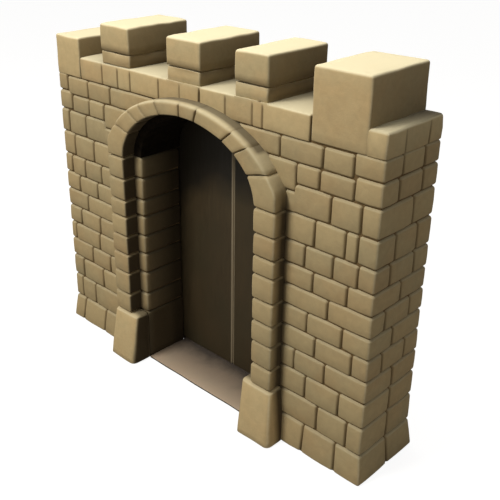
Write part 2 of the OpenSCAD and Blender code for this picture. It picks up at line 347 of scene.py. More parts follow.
class Nodes:
    """A short way to write the node tree of a material or of a world, its owner."""

    def __init__(self, owner):
        self.owner = owner
        self.owner.use_nodes = True
        self.tree = self.owner.node_tree
        self.shader = self.tree.nodes.get("Principled BSDF")

    def add(self, kind, inputs=(), **settings):
        node = self.tree.nodes.new("ShaderNode" + kind)
        for key, value in settings.items():
            setattr(node, key, value)
        for key, value in dict(inputs).items():
            if isinstance(value, bpy.types.NodeSocket):
                self.tree.links.new(value, node.inputs[key])
            else:
                node.inputs[key].default_value = value
        return node

    def noise(self, scale, detail=3.0, roughness=0.55, stretch=(1, 1, 1), distortion=0.0):
        where = self.add("TexCoord").outputs["Object"]
        where = self.add("Mapping", {"Vector": where, "Scale": stretch}).outputs[0]
        return self.add("TexNoise", {"Vector": where, "Scale": scale, "Detail": detail,
                                     "Roughness": roughness, "Distortion": distortion}).outputs["Fac"]

    def attribute(self, name):
        return self.add("Attribute", attribute_name=name).outputs["Fac"]

    def span(self, value, low, high, to_low=0.0, to_high=1.0):
        return self.add("MapRange", {"Value": value, "From Min": low, "From Max": high,
                                     "To Min": to_low, "To Max": to_high}).outputs["Result"]

    def math(self, operation, a, b=0.0):
        return self.add("Math", {0: a, 1: b}, operation=operation).outputs[0]

    def mix(self, share, a, b, blend="MIX"):
        node = self.add("Mix", data_type="RGBA", blend_type=blend)
        for key, value in ((0, share), (6, a), (7, b)):
            if isinstance(value, bpy.types.NodeSocket):
                self.tree.links.new(value, node.inputs[key])
            else:
                node.inputs[key].default_value = value
        return node.outputs[2]

    def place(self):
        """X, Y and Z of the point, as the outputs of a node."""
        return self.add("SeparateXYZ", {0: self.add("TexCoord").outputs["Object"]}).outputs

    def from_gate(self):
        """How far the point is from the middle of the gateway, across it."""
        return self.math("ABSOLUTE", self.math("SUBTRACT", self.place()["X"], GATE_X))

    def facing(self):
        """X, Y and Z of the way the surface faces, as the outputs of a node."""
        return self.add("SeparateXYZ", {0: self.add("NewGeometry").outputs["Normal"]}).outputs

    def up(self):
        """How far the surface faces up, from -1 to 1."""
        return self.facing()["Z"]

    def sideways(self):
        """1 on surfaces that face along X, and 0 on those that don't."""
        return self.span(self.math("ABSOLUTE", self.facing()["X"]), 0.5, 0.95)

    def bump(self, height, strength, distance, normal=None):
        inputs = {"Height": height, "Strength": strength, "Distance": distance}
        if normal:
            inputs["Normal"] = normal
        return self.add("Bump", inputs).outputs[0]

    def set(self, **sockets):
        """Sets or links the inputs of the material's shader, with _ for each space."""
        for key, value in sockets.items():
            key = key.replace("_", " ")
            if isinstance(value, bpy.types.NodeSocket):
                self.tree.links.new(value, self.shader.inputs[key])
            else:
                self.shader.inputs[key].default_value = value


def material_nodes(name):
    """The node tree of a new material."""
    return Nodes(bpy.data.materials.new(name))


def shade(colour, factor):
    """A colour made lighter or darker."""
    return tuple(c * factor for c in colour[:3]) + (1.0,)


SAND = (0.47, 0.365, 0.195, 1)
SAND_WARM = (0.49, 0.34, 0.172, 1)
SAND_GREY = (0.43, 0.355, 0.205, 1)
# Pale of bleached and worn stone, also used as painted light on upward faces and corners.
BLEACHED_AND_LIT = (0.74, 0.68, 0.475, 1)
# Dark of the joints, also used as the colour of painted shade.
JOINT_AND_SHADE_DARK = (0.085, 0.054, 0.021, 1)


def crenel_painted_shade(n, top):
    """How much painted shade the battlements get: on the crenels' floors towards the back, and on the
    merlons' sides towards their foot and the back, less at the right. The two ends of the gate get none."""
    where = n.place()
    back = n.span(where["Y"], FRONT, BACK - 0.1)
    low = n.span(where["Z"], TOP_Z, TOP_Z + 0.45, 0.75, 0.5)
    side = n.math("ADD", low, n.math("MULTIPLY", back, 0.25))
    inside = n.span(n.math("ABSOLUTE", where["X"]), X1 - 0.18, X1 - 0.08, 1.0, 0.0)
    side = n.math("MULTIPLY", side, inside)
    side = n.math("MULTIPLY", side, n.span(where["X"], 1.3, 2.4, 1.15, 0.68))
    at_floor = n.span(where["Z"], TOP_Z, TOP_Z + 0.1, 1.0, 0.0)
    floor = n.math("MULTIPLY", n.math("ADD", back, 0.25), at_floor)
    return n.math("MAXIMUM", n.math("MULTIPLY", side, n.sideways()), n.math("MULTIPLY", floor, top))


def seam_shade(n):
    """How much painted shade the face of the wall gets close beside the upright part of the surround."""
    where = n.place()
    beside = n.span(n.from_gate(), JAMB_R + 0.005, JAMB_R + 0.05, 1.0, 0.0)
    beside = n.math("MULTIPLY", beside, n.span(where["Y"], FRONT + 0.02, FRONT + 0.04, 1.0, 0.0))
    return n.math("MULTIPLY", beside, n.span(where["Z"], SPRING_Z, SPRING_Z + 0.3, 1.0, 0.0))


def passage_painted_shade(n, passage_shade):
    """How much painted shade the passage's stones get: deep in it, beside the surround, and at their foot.
    """
    where = n.place()
    edge = n.span(where["Y"], FRONT + 0.005, FRONT + 0.08, 0.0, 0.55)
    deep = n.math("ADD", edge, n.span(where["Y"], FRONT + 0.08, STOP_Y - 0.15, 0.0, 0.45))
    beside = n.span(n.from_gate(), OPEN_R + 0.04, RING_R, 0.0, 0.7)
    low = n.span(where["Z"], BASE_Z - 0.05, BASE_Z + 0.15, 0.85, 0.0)
    return n.math("MAXIMUM", n.math("MAXIMUM", n.math("MULTIPLY", deep, passage_shade), beside), low)


def surround_painted_shade(n):
    """How much painted shade the surround gets: on its inner side, on the ledges of the base blocks,
    and on the outer side of its upright part, near the wall."""
    where = n.place()
    out_x = n.math("SUBTRACT", where["X"], GATE_X)
    out_z = n.math("MAXIMUM", n.math("SUBTRACT", where["Z"], SPRING_Z), 0.0)
    out = n.add("CombineXYZ", {0: out_x, 2: out_z}).outputs[0]
    out = n.add("VectorMath", {0: out}, operation="NORMALIZE").outputs[0]
    normal = n.add("NewGeometry").outputs["Normal"]
    facing_out = n.add("VectorMath", {0: out, 1: normal}, operation="DOT_PRODUCT").outputs["Value"]
    inner = n.span(facing_out, -0.5, -0.95, 0.0, 0.93)
    ledge = n.span(n.from_gate(), RING_R - 0.02, RING_R + 0.02, 0.7, 0.0)
    ledge = n.math("MULTIPLY", ledge, n.span(where["Y"], JAMB_Y + 0.03, JAMB_Y + 0.1))
    deep = n.span(where["Y"], JAMB_Y + 0.03, JAMB_Y + 0.14)
    outer = n.math("MULTIPLY", n.math("MULTIPLY", deep, n.sideways()), 0.9)
    outer = n.math("MULTIPLY", outer, n.span(where["Z"], SPRING_Z, SPRING_Z + 0.5, 1.0, 0.0))
    return n.math("MAXIMUM", n.math("MAXIMUM", inner, ledge), outer)


def stone_material(name, light=1.0, passage_shade=0.0, bleach_and_top_light=0.8, shaded_sides=False, crenel_shade=0.0, seam=0.0):
    """Worn sandstone: its tone differs from stone to stone, its upward faces are paled as bleaching
    and as painted light from above, its free corners are paled as wear and as painted highlight,
    and it darkens towards its joints with grime and painted shade. Each stone is painted lighter at
    its top and darker at its foot, as painted light and shade. Its arguments for the passage, the
    surround's sides, the crenels and the seam add painted shade to the passage, the surround, the
    crenels and the wall beside the surround."""
    n = material_nodes(name)
    blotch = n.noise(1.6, 4, 0.6)
    mottle = n.noise(11, 5, 0.6, distortion=0.4)
    grain = n.noise(90, 4, 0.65)
    streak = n.noise(16, 3, 0.5, stretch=(1.0, 1.0, 2.6))
    tone, rim = n.attribute("tone"), n.attribute("rim")
    colour = n.mix(n.span(blotch, 0.38, 0.62), shade(SAND_GREY, light), shade(SAND_WARM, light))
    colour = n.mix(n.span(tone, -1.6, 1.6, 0.45, 0.85), colour, shade(SAND, light))
    value = n.math("ADD", n.span(tone, -2, 2, 0.94, 1.07), n.span(mottle, 0.3, 0.7, -0.06, 0.06))
    value = n.math("ADD", value, n.span(streak, 0.3, 0.7, -0.015, 0.015))
    # Painted light and shade: each stone is lighter towards its top and darker towards its foot, as light
    # falls from above.
    value = n.math("ADD", value, n.span(n.attribute("lift"), 0.0, 1.0, -0.08, 0.07))
    value = n.math("ADD", value, n.span(grain, 0.25, 0.75, -0.035, 0.035))
    # Grime and painted shade: each stone darkens towards its joints.
    value = n.math("SUBTRACT", value, n.span(rim, 0.05, 0.6, 0.0, 0.10))
    grey = n.add("CombineColor", {0: value, 1: value, 2: value}).outputs[0]
    colour = n.mix(1.0, colour, grey, "MULTIPLY")
    # Upward faces are paled, partly as bleaching and partly as painted light from above, less so near the
    # joints.
    top = n.math("MULTIPLY", n.span(n.up(), 0.25, 0.9), n.span(rim, 0.5, 0.95, 1.0, 0.45))
    # Free corners are painted pale, partly as wear and partly as painted highlight on their rounded edges.
    patchy = n.span(mottle, 0.3, 0.7, 0.16, 0.34)
    worn_and_lit = n.math("MULTIPLY", n.span(n.attribute("wear"), 0.3, 0.9), patchy)
    colour = n.mix(worn_and_lit, colour, shade(BLEACHED_AND_LIT, light))
    colour = n.mix(n.math("MULTIPLY", top, bleach_and_top_light), colour, shade(BLEACHED_AND_LIT, light))
    # Grime and painted shade at the joints, left off faces that look up, where the light falls.
    grime_and_shade = n.math("MULTIPLY", n.span(rim, 0.5, 1.0), n.span(mottle, 0.25, 0.75, 0.35, 0.65))
    grime_and_shade = n.math("MULTIPLY", grime_and_shade, n.span(n.up(), -0.1, 0.6, 1.0, 0.0))
    colour = n.mix(grime_and_shade, colour, JOINT_AND_SHADE_DARK)
    colour = n.mix(n.span(rim, 1.1, 2.2, 0.0, 0.55), colour, JOINT_AND_SHADE_DARK)
    # Painted shade on the crenels' floors and the merlons' sides.
    if crenel_shade:
        colour = n.mix(n.math("MULTIPLY", crenel_painted_shade(n, top), crenel_shade), colour, shade(JOINT_AND_SHADE_DARK, 0.5))
    # Painted shade on the wall beside the surround.
    if seam:
        colour = n.mix(n.math("MULTIPLY", seam_shade(n), seam), colour, shade(JOINT_AND_SHADE_DARK, 0.5))
    # Painted shade deep in the passage, beside the surround and at the reveals' foot.
    if passage_shade:
        colour = n.mix(passage_painted_shade(n, passage_shade), colour, shade(JOINT_AND_SHADE_DARK, 0.3))
    # Painted shade on the surround's inner side, its ledges, and its outer side near the wall.
    if shaded_sides:
        colour = n.mix(surround_painted_shade(n), colour, shade(JOINT_AND_SHADE_DARK, 0.3))
    n.set(Base_Color=colour, Roughness=n.span(grain, 0.3, 0.7, 0.82, 0.96),
          Normal=n.bump(grain, 0.35, 0.004, n.bump(mottle, 0.45, 0.012)), Specular_IOR_Level=0.25)
    return n.owner


def joint_material():
    """The dark mortar behind the joints."""
    n = material_nodes("joint_mortar")
    rough = n.noise(60, 4, 0.7)
    n.set(Base_Color=n.mix(n.span(rough, 0.3, 0.7), shade(JOINT_AND_SHADE_DARK, 1.4), shade(JOINT_AND_SHADE_DARK, 2.2)),
          Roughness=n.span(rough, 0.3, 0.7, 0.9, 1.0), Normal=n.bump(rough, 0.5, 0.006))
    return n.owner


def timber_material():
    """Dark, smooth boards: grain along Z, a painted shadow over their upper part above an arched line, and
    a painted highlight on the pale meeting edges.
    """
    n = material_nodes("dark_timber")
    grain = n.noise(7, 5, 0.6, stretch=(9, 9, 0.55), distortion=0.3)
    patch = n.noise(1.1, 3, 0.5)
    colour = n.mix(n.span(grain, 0.3, 0.7), (0.040, 0.027, 0.012, 1), (0.063, 0.044, 0.020, 1))
    colour = n.mix(n.span(patch, 0.38, 0.62), colour, (0.040, 0.031, 0.014, 1))
    colour = n.mix(n.span(n.attribute("tone"), -2, 2, 0.0, 0.35), colour, (0.034, 0.024, 0.012, 1))
    from_gap = n.from_gate()
    # Painted shadow of the stone arch: the boards are darker above an arched line.
    arch = n.math("MULTIPLY", n.math("POWER", from_gap, 2.0), 0.55)
    arched_shadow_line = n.math("ADD", n.place()["Z"], arch)
    arched_shadow_line = n.math("ADD", arched_shadow_line, n.span(patch, 0.3, 0.7, -0.15, 0.15))
    colour = n.mix(n.span(arched_shadow_line, 2.55, 2.9, 0.0, 0.86), colour, (0.006, 0.0045, 0.002, 1))
    # Painted highlight: the meeting edges are painted pale, as if catching the light.
    colour = n.mix(n.span(from_gap, 0.014, 0.036, 0.8, 0.0), colour, (0.42, 0.35, 0.24, 1))
    n.set(Base_Color=colour, Roughness=n.span(grain, 0.3, 0.7, 0.5, 0.68),
          Normal=n.bump(grain, 0.25, 0.003), Specular_IOR_Level=0.3)
    return n.owner


def iron_material():
    """Blackened, hammered iron with a little rust."""
    n = material_nodes("blackened_iron")
    hammer = n.noise(26, 3, 0.5)
    rust = n.noise(9, 5, 0.65)
    colour = n.mix(n.span(rust, 0.52, 0.72, 0.0, 0.6), (0.035, 0.033, 0.032, 1), (0.11, 0.05, 0.022, 1))
    n.set(Base_Color=colour, Metallic=0.75, Roughness=n.span(rust, 0.4, 0.7, 0.42, 0.8),
          Normal=n.bump(hammer, 0.4, 0.004))
    return n.owner


def vault_shade_material():
    """The underside of the vault, painted near black as painted shade."""
    n = material_nodes("vault_painted_shade")
    rough = n.noise(14, 5, 0.6)
    n.set(Base_Color=n.mix(n.span(rough, 0.3, 0.7), (0.004, 0.003, 0.002, 1), (0.014, 0.010, 0.006, 1)),
          Roughness=n.span(rough, 0.3, 0.7, 0.85, 1.0), Normal=n.bump(rough, 0.4, 0.008),
          Specular_IOR_Level=0.05)
    return n.owner


def threshold_material():
    """Pinkish stone, pale in front, with painted shade that darkens it near the leaves and on its edges.
    """
    n = material_nodes("threshold_stone")
    depth = n.place()["Y"]
    wear = n.noise(3.2, 5, 0.6, distortion=0.3)
    grain = n.noise(80, 4, 0.65)
    # Painted shade: darker towards the back of the passage, near the leaves.
    far = n.math("ADD", n.span(depth, FRONT - 0.12, STOP_Y), n.span(wear, 0.3, 0.7, -0.1, 0.1))
    colour = n.mix(n.span(wear, 0.35, 0.65), (0.56, 0.43, 0.31, 1), (0.66, 0.52, 0.38, 1))
    colour = n.mix(n.span(far, 0.05, 1.0), colour, (0.06, 0.046, 0.036, 1))
    # Painted shadow: faces that don't look up are darkened.
    colour = n.mix(n.span(n.up(), 0.3, 0.8, 0.9, 0.0), colour, (0.02, 0.015, 0.011, 1))
    n.set(Base_Color=colour, Roughness=n.span(grain, 0.3, 0.7, 0.8, 0.95),
          Normal=n.bump(grain, 0.35, 0.004))
    return n.owner


STONE = stone_material("sandstone", 0.90, seam=0.75)
STONE_TOP = stone_material("sandstone_battlements", 1.08, crenel_shade=0.72)
STONE_BASE = stone_material("sandstone_base", 1.14, shaded_sides=True)
STONE_RING = stone_material("sandstone_surround", 0.89, bleach_and_top_light=0.45, shaded_sides=True)
# The passage's copy is darker as a whole, as painted shade, and takes painted shade deep in the passage.
STONE_DARK = stone_material("sandstone_passage", 0.72, 0.95)
VAULT_DARK = vault_shade_material()
THRESHOLD_STONE = threshold_material()
MORTAR = joint_material()
TIMBER = timber_material()
IRON = iron_material()

# ---- mortar core behind the facing ----


def core_outline(rx, rz, spring, inset):
    """Outline of the wall from in front, with an arched gateway, drawn in by the inset."""
    x0, x1 = X0 + inset, X1 - inset
    arch = ellipse(rx + inset, rz + inset, spring)
    return ([(GATE_X + rx + inset, 0.0)] + arch + [(GATE_X - rx - inset, 0.0), (x0, 0.0),
            (x0, TOP_Z - 0.05), (x1, TOP_Z - 0.05), (x1, 0.0)])


def mortar_core():
    """The dark mass that shows in the joints between the stones."""
    bm = bmesh.new()
    prism(bm, core_outline(OPEN_R, OPEN_RISE, SPRING_Z, CORE_INSET), FRONT + CORE_INSET, STOP_Y - 0.01)
    prism(bm, core_outline(REAR_R, REAR_RISE, REAR_SPRING_Z, CORE_INSET), STOP_Y - 0.01, BACK - CORE_INSET)
    as_piece("mortar_core", mesh_of(bm, "mortar_core"), MORTAR, "masonry", "stone")


mortar_core()

# ---- courses of the wall ----


def bed(course, at_end):
    """Height of the bed under a course."""
    return BEDS[course] + (END_RISE[course] if at_end else 0)


def wall_side(side, course):
    """The joints of one course on one side of the gate, as (front, end, back) lists that run out
    from the gateway. The unseen left end and the back repeat the joints of the seen faces."""
    left, right, end = JOINTS[course]
    near = GATE_X + side * (JAMB_R - WALL_LAP)
    back_near = GATE_X + side * REAR_R
    if side > 0:
        return [near, *right, X1], [FRONT, *end, BACK], [back_near, *[-x for x in left[::-1]], X1]
    other_end = JOINTS[(course + 2) % len(JOINTS)][2]
    return [near, *left[::-1], X0], [FRONT, *other_end, BACK], [back_near, *[-x for x in right], X0]


def arch_side(side, arch, z):
    """Where the middle line of an arch's ring is at a height, on one side of the gate."""
    rx, rz, spring = arch
    rise = np.clip((z - spring) / rz, 0, 0.995)
    return GATE_X + side * rx * np.sqrt(1 - rise**2)


def to_arch(side, arch, near, far):
    """A shape that moves a stone's near end to the middle line of an arch's ring."""

    def shape(p):
        p = p.copy()
        p[:, 0] = far + (p[:, 0] - far) * (far - arch_side(side, arch, p[:, 2])) / (far - near)
        return p

    return shape


def stepped(side, step, z0, z1, low, then):
    """A shape that lowers the top of a stone between a step and the gate, and then bends it."""

    def shape(p):
        near = np.clip(side * (step - p[:, 0]) / 0.01 + 0.5, 0, 1)
        p = p.copy()
        p[:, 2] -= near * (p[:, 2] - z0) / (z1 - z0) * (z1 - low)
        return np.where(near[:, None] == 1, then(p), p)

    return shape


def course_stones(stones, side, course, shape=None, spandrel=None):
    """Lays one course round the front, the end and the back of the wall beside the gate. The
    stones next to the arches go to the spandrel masonry, if it is given."""
    front, end, back = wall_side(side, course)
    z = [(bed(course, e), bed(course + 1, e)) for e in (False, True)]
    front_arch = ((RING_R + JAMB_R) / 2, RING_RISE + RING_T / 2, SPRING_Z)
    rear_arch = (REAR_R + REAR_RING_T, REAR_RISE + REAR_CROWN_T, REAR_SPRING_Z)

    def lay(xa, xb, ya, yb, at_end, z_range=None, arch=None):
        z0, z1 = z_range or z[at_end]
        to, bend, cell = stones, shape, CELL
        if spandrel and arch:
            xa = arch_side(side, arch, (z0 + z1) / 2)
            to, bend, cell = spandrel, to_arch(side, arch, xa, xb), CURVE_CELL
        to.course_stone((min(xa, xb), ya, z0), (max(xa, xb), yb, z1), shape=bend, cell=cell)

    for i, (a, b) in enumerate(itertools.pairwise(front)):
        corner = i == len(front) - 2
        arch = front_arch if i == 0 else None
        y1 = end[1] if corner else FRONT + FACING
        if i == 0 and course == HANGING_COURSE:
            lay(a, b, FRONT, y1, corner, (HANG_Z, z[0][1]), arch)
        elif i == 0 and course == HANGING_COURSE - 1:
            step = wall_side(side, HANGING_COURSE)[0][1]
            z0, z1 = z[0]
            near = arch_side(side, arch, (z0 + HANG_Z) / 2)
            bent = stepped(side, step, z0, z1, HANG_Z, to_arch(side, arch, near, step))
            spandrel.course_stone((min(near, b), FRONT, z0), (max(near, b), y1, z1), shape=bent,
                                  cuts=(step - 0.005, step + 0.005))
        else:
            lay(a, b, FRONT, y1, corner, arch=arch)
    for i, (a, b) in enumerate(itertools.pairwise(back)):
        corner = i == len(back) - 2
        quoin = i == 0 and not spandrel
        lay(a, b, end[-2] if corner else STOP_Y if quoin else BACK - FACING, BACK, corner,
            arch=rear_arch if i == 0 else None)
    outer = front[-1]
    for a, b in itertools.pairwise(end[1:-1]):
        lay(outer - side * FACING, outer, a, b, True)


def splayed(side):
    """Shape of the foot course: it widens towards the ground on its free faces."""

    def shape(p):
        p = p.copy()
        out = SPLAY * (1 - np.clip(p[:, 2] / FOOT_Z, 0, 1))
        reach = np.clip((side * p[:, 0] - SPLAY_FROM) / (abs(X1) - SPLAY_FROM), 0, 1)
        p[:, 0] += side * out * reach
        p[:, 1] += out * np.clip((p[:, 1] - (FRONT + BACK) / 2) / ((BACK - FRONT) / 2), -1, 1)
        return p

    return shape


def lay_walls(side, name):
    """The wall on one side of the gateway: foot, courses, and the stones beside the arches."""
    foot, courses, spandrel = Masonry(), Masonry(), Masonry()
    course_stones(foot, side, 0, splayed(side))
    foot.piece(f"foot_course_{name}", STONE, "masonry", "stone", f"foot_{name}")
    for course in range(1, len(JOINTS)):
        beside_arch = BEDS[course + 1] > SPRING_Z + 0.01
        course_stones(courses, side, course, spandrel=spandrel if beside_arch else None)
    courses.piece(f"wall_stones_{name}", STONE, "masonry", "stone", f"wall_{name}", f"rear_jamb_{name}")
    spandrel.piece(f"spandrel_{name}", STONE, "masonry", "stone", f"head_{name}", f"rear_head_{name}")
    mortar = Masonry()
    x0, x1 = sorted((GATE_X + side * (JAMB_R - 0.1), (X1 if side > 0 else X0) - side * CORE_INSET))
    mortar.add((x0, FRONT + CORE_INSET, 0.004), (x1, BACK - CORE_INSET, FOOT_Z),
               edge=0.003, bulge=0, wobble=0, shape=splayed(side))
    mortar.piece(f"foot_mortar_{name}", MORTAR, "masonry", "stone")


for side, name in ((-1, "left"), (1, "right")):
    lay_walls(side, name)

# ---- battlements ----


def top_course():
    """The course under the crenels: smooth on top, with its joints in the two faces. Its edges
    are left square under the two merlons whose blocks stand flush with the wall."""
    stones = Masonry()
    x0, x1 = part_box("merlon_1")[1].x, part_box("merlon_5")[0].x
    above = [[corner.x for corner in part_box(f"merlon_{number}_block")] for number in (3, 4)]

    def shape(p):
        p = p.copy()
        for a, b in above:
            under = (p[:, 0] > a) & (p[:, 0] < b) & (p[:, 2] > TOP_Z - 0.024)
            front = under & (p[:, 1] < FRONT + 0.023)
            back = under & (p[:, 1] > BACK - 0.023)
            p[front, 1] = FRONT + 0.001
            p[back, 1] = BACK - 0.001
            p[front | back, 2] = np.minimum(p[front | back, 2] + 0.004, TOP_Z)
        return p

    cuts = [end + beside for ends in above for end in ends for beside in (-0.004, 0.004)]
    stones.add((x0 + GAP / 3, FRONT, BEDS[TOP_BED] + GAP / 2), (x1 - GAP / 4, BACK, TOP_Z),
               edge=TOP_EDGE, bulge=0.003, wobble=0.005, cell=0.055, meets=((1, 0, 1), (1, 0, 0)),
               grooves=TOP_JOINTS, shape=shape, cuts=cuts)
    return stones.piece("top_course", STONE_TOP, "masonry", "stone_light",
                        "parapet_left", "parapet_middle", "parapet_right")


def merlon(node, low_edge, top_edge=FREE_EDGE, near_edge=FREE_EDGE, near=0.0, z0=None,
           meets=((0, 0, 1), (0, 0, 0)), **kw):
    """One stone of the battlements. near is how far its left side reaches beyond the node."""
    lo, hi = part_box(node)
    stones = Masonry()
    stones.add((lo.x - near, lo.y, lo.z if z0 is None else z0), hi,
               edge=((near_edge, FREE_EDGE, low_edge), (FREE_EDGE, FREE_EDGE, top_edge)),
               bulge=0.005, wobble=0.006, cell=0.1, meets=meets, **kw)
    return stones.piece(f"{node}_stone", STONE_TOP, "masonry", "stone_light", node)


def open_joint(p):
    """Shape of a merlon's cap: its bed joint is open in front and closed behind."""
    p = p.copy()
    front = np.clip(1 - (p[:, 1] - FRONT) / 0.07, 0, 1)
    low = np.clip(1 - (p[:, 2] - p[:, 2].min()) / 0.04, 0, 1)
    p[:, 2] += CAP_JOINT * front * low
    return p


def capped_merlon(number, on_joint):
    """A block and its cap. The block stands in a joint, or flush on the course below it."""
    merlon(f"merlon_{number}_cap", low_edge=0.003, shape=open_joint)
    merlon(f"merlon_{number}_block", low_edge=0.012 if on_joint else 0.003, top_edge=0.005,
           z0=TOP_Z if on_joint else TOP_Z - 0.012, meets=((0, 0, on_joint), (0, 0, 1)), tone=0)


top_course()
for number in (2, 3, 4):
    capped_merlon(number, on_joint=number == 2)
merlon("merlon_1", low_edge=TOP_EDGE, z0=BEDS[TOP_BED] + GAP / 2)
merlon("merlon_5", low_edge=TOP_EDGE)
merlon("shoulder", low_edge=TOP_EDGE, near_edge=0.01, near=SHOULDER_LAP,
       meets=((1, 0, 1), (0, 0, 0)), grooves=SHOULDER_JOINTS, across=1)

# ---- surround ----


def base_block(side, name):
    """One plain block, splayed to the front and to the outside."""
    lo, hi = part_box(f"base_block_{name}")
    out_x = GATE_X + side * (JAMB_R + BLOCK_STEP)
    inner = GATE_X + side * OPEN_R
    front_splay, side_splay = JAMB_Y - lo.y, abs((hi.x if side > 0 else lo.x) - out_x)

    def shape(p):
        p = p.copy()
        drop = 1 - np.clip(p[:, 2] / BASE_Z, 0, 1)
        p[:, 0] += side * side_splay * drop * np.clip((p[:, 0] - inner) / (out_x - inner), 0, 1)
        p[:, 1] -= front_splay * drop * np.clip((FRONT - p[:, 1]) / (FRONT - JAMB_Y), 0, 1)
        return p

    stones = Masonry()
    x0, x1 = sorted((inner, out_x))
    stones.add((x0, JAMB_Y, 0), (x1, FRONT + 0.02, BASE_Z - 0.004),
               edge=((0.055, 0.055, 0.01), (0.055, 0.01, 0.04)), bulge=0.005, cell=0.07,
               shape=shape, meets=((0, 0, 0), (0, 0, 1)))
    return stones.piece(f"base_stone_{name}", STONE_BASE, "masonry", "stone_light", f"base_block_{name}")


UPRIGHT_EDGES = ((FREE_EDGE, FREE_EDGE, 0.03), (FREE_EDGE, FREE_EDGE, 0.03))


def jamb(side, name, beds):
    """The upright part of the surround on one side of the gateway."""
    stones = Masonry()
    x0, x1 = sorted((GATE_X + side * RING_R, GATE_X + side * JAMB_R))
    for a, b in itertools.pairwise([BASE_Z, *beds, SPRING_Z]):
        stones.add((x0, JAMB_Y, a + GAP / 2), (x1, FRONT + SET_IN, b - GAP / 2),
                   edge=UPRIGHT_EDGES, bulge=BULGE)
    return stones.piece(f"jamb_stones_{name}", STONE_RING, "masonry", "stone", f"jamb_{name}")


def springer(side, name):
    """The first stone of the ring: upright outside, its shoulder cut back to the ring."""
    start, deg = (0, RING_DEG[-1]) if side > 0 else (180, RING_DEG[0])
    outer_x = GATE_X + side * JAMB_R
    heights = (SPRING_Z, SPRING_Z + SPRINGER_UPRIGHT / 2, SPRING_Z + SPRINGER_UPRIGHT)
    top = ellipse(JAMB_R, RING_RISE + RING_T, SPRING_Z, deg, deg, 1)[0]
    outer = line_curve([*[(outer_x, z) for z in heights], top])
    inner = arc_curve(RING_R, RING_RISE, SPRING_Z, start, deg)
    if side < 0:
        inner, outer = outer, inner
    stones = Masonry()
    arch_stone(stones, inner, outer, JAMB_Y, FRONT + SET_IN, SPRINGER_H, JAMB_R - RING_R,
               UPRIGHT_EDGES, bulge=0.006, cell=0.06)
    return stones.piece(f"springer_stone_{name}", STONE_RING, "masonry", "stone_light",
                        f"springer_{name}")


def arc_length(rx, rz, low_deg, high_deg):
    """About how long an elliptical arc between two angles is."""
    mid = math.radians((low_deg + high_deg) / 2)
    return math.radians(high_deg - low_deg) * math.hypot(rx * math.sin(mid), rz * math.cos(mid))


def voussoir(i):
    """Stone i of the ring, from the left: cushioned in front, with a wide rounding outside."""
    low, high = RING_DEG[i], RING_DEG[i - 1]
    mid = math.radians((low + high) / 2)
    outer_r, outer_rise = JAMB_R, RING_RISE + RING_T
    length = arc_length((RING_R + outer_r) / 2, (RING_RISE + outer_rise) / 2, low, high)
    width = math.hypot((outer_r - RING_R) * math.cos(mid), RING_T * math.sin(mid))
    stones = Masonry()
    arch_stone(stones, arc_curve(RING_R, RING_RISE, SPRING_Z, high, low),
               arc_curve(outer_r, outer_rise, SPRING_Z, high, low), JAMB_Y, FRONT + SET_IN,
               length, width, ((0.024, 0.05, 0.019), (0.055, 0.01, 0.019)), bulge=0.006,
               closing=1, gap=0.003, wobble=0.0015, cell=0.045)
    return stones.piece(f"ring_stone_{i}", STONE_RING, "masonry", "stone_light", f"voussoir_{i}")


for side, name, beds in ((-1, "left", LEFT_BEDS), (1, "right", RIGHT_BEDS)):
    base_block(side, name)
    jamb(side, name, beds)
    springer(side, name)
for i in range(1, len(RING_DEG)):
    voussoir(i)

# ---- passage ----


def reveal(side, name, beds):
    """The coursed side of the passage, whose front edge shows beside the surround."""
    stones = Masonry()
    x0, x1 = sorted((GATE_X + side * OPEN_R, GATE_X + side * (OPEN_R + REVEAL_T)))
    for a, b in itertools.pairwise([BASE_Z, *beds, SPRING_Z]):
        stones.add((x0, FRONT, a + GAP / 2), (x1, STOP_Y, b - GAP / 2), edge=0.036, bulge=0.006)
    stones.add((x0, FRONT + 0.016, 0), (x1, STOP_Y, BASE_Z - 0.006),
               edge=((0.02, 0.003, 0.01), (0.02, 0.02, 0.02)), bulge=0.002, wobble=0.001, tone=0)
    return stones.piece(f"reveal_stones_{name}", STONE_DARK, "masonry", "stone_dark",
                        f"reveal_{name}")


def vault(name, rx, rz, spring, y0, y1, thick, crown, count, material, slot, foot_z=None, **kw):
    """A ring of arch stones that lines the passage, of one thickness at its springing and
    another at its crown. With foot_z, two upright stones carry it on each side."""
    stones = Masonry()
    legs = itertools.pairwise(np.linspace(foot_z, spring, 3)) if foot_z else ()
    for (a, b), side in itertools.product(legs, (-1, 1)):
        x0, x1 = sorted((GATE_X + side * rx, GATE_X + side * (rx + thick)))
        stones.add((x0, y0, a + GAP / 2), (x1, y1, b - GAP / 2), **kw)
    for low, high in itertools.pairwise(np.linspace(0, 180, count + 1)):
        length = arc_length(rx + thick / 2, rz + thick / 2, low, high)
        arch_stone(stones, arc_curve(rx, rz, spring, high, low),
                   arc_curve(rx + thick, rz + crown, spring, high, low), y0, y1, length, thick,
                   cell=0.08, **kw)
    return stones.piece(name, material, "masonry", slot)


for side, name, beds in ((-1, "left", LEFT_BEDS), (1, "right", RIGHT_BEDS)):
    reveal(side, name, beds)
# The front vault takes the near-black painted shade.
vault("vault_front", OPEN_R, OPEN_RISE, SPRING_Z, FRONT, STOP_Y, VAULT_T, VAULT_T, 15,
      VAULT_DARK, "stone_dark", edge=0.012, gap=-0.012, bulge=0.003)
vault("vault_rear", REAR_R, REAR_RISE, REAR_SPRING_Z, STOP_Y + 0.02, BACK, REAR_RING_T,
      REAR_CROWN_T, 17, STONE, "stone", foot_z=BEDS[SPRING_COURSE], edge=0.022)

# ---- threshold ----


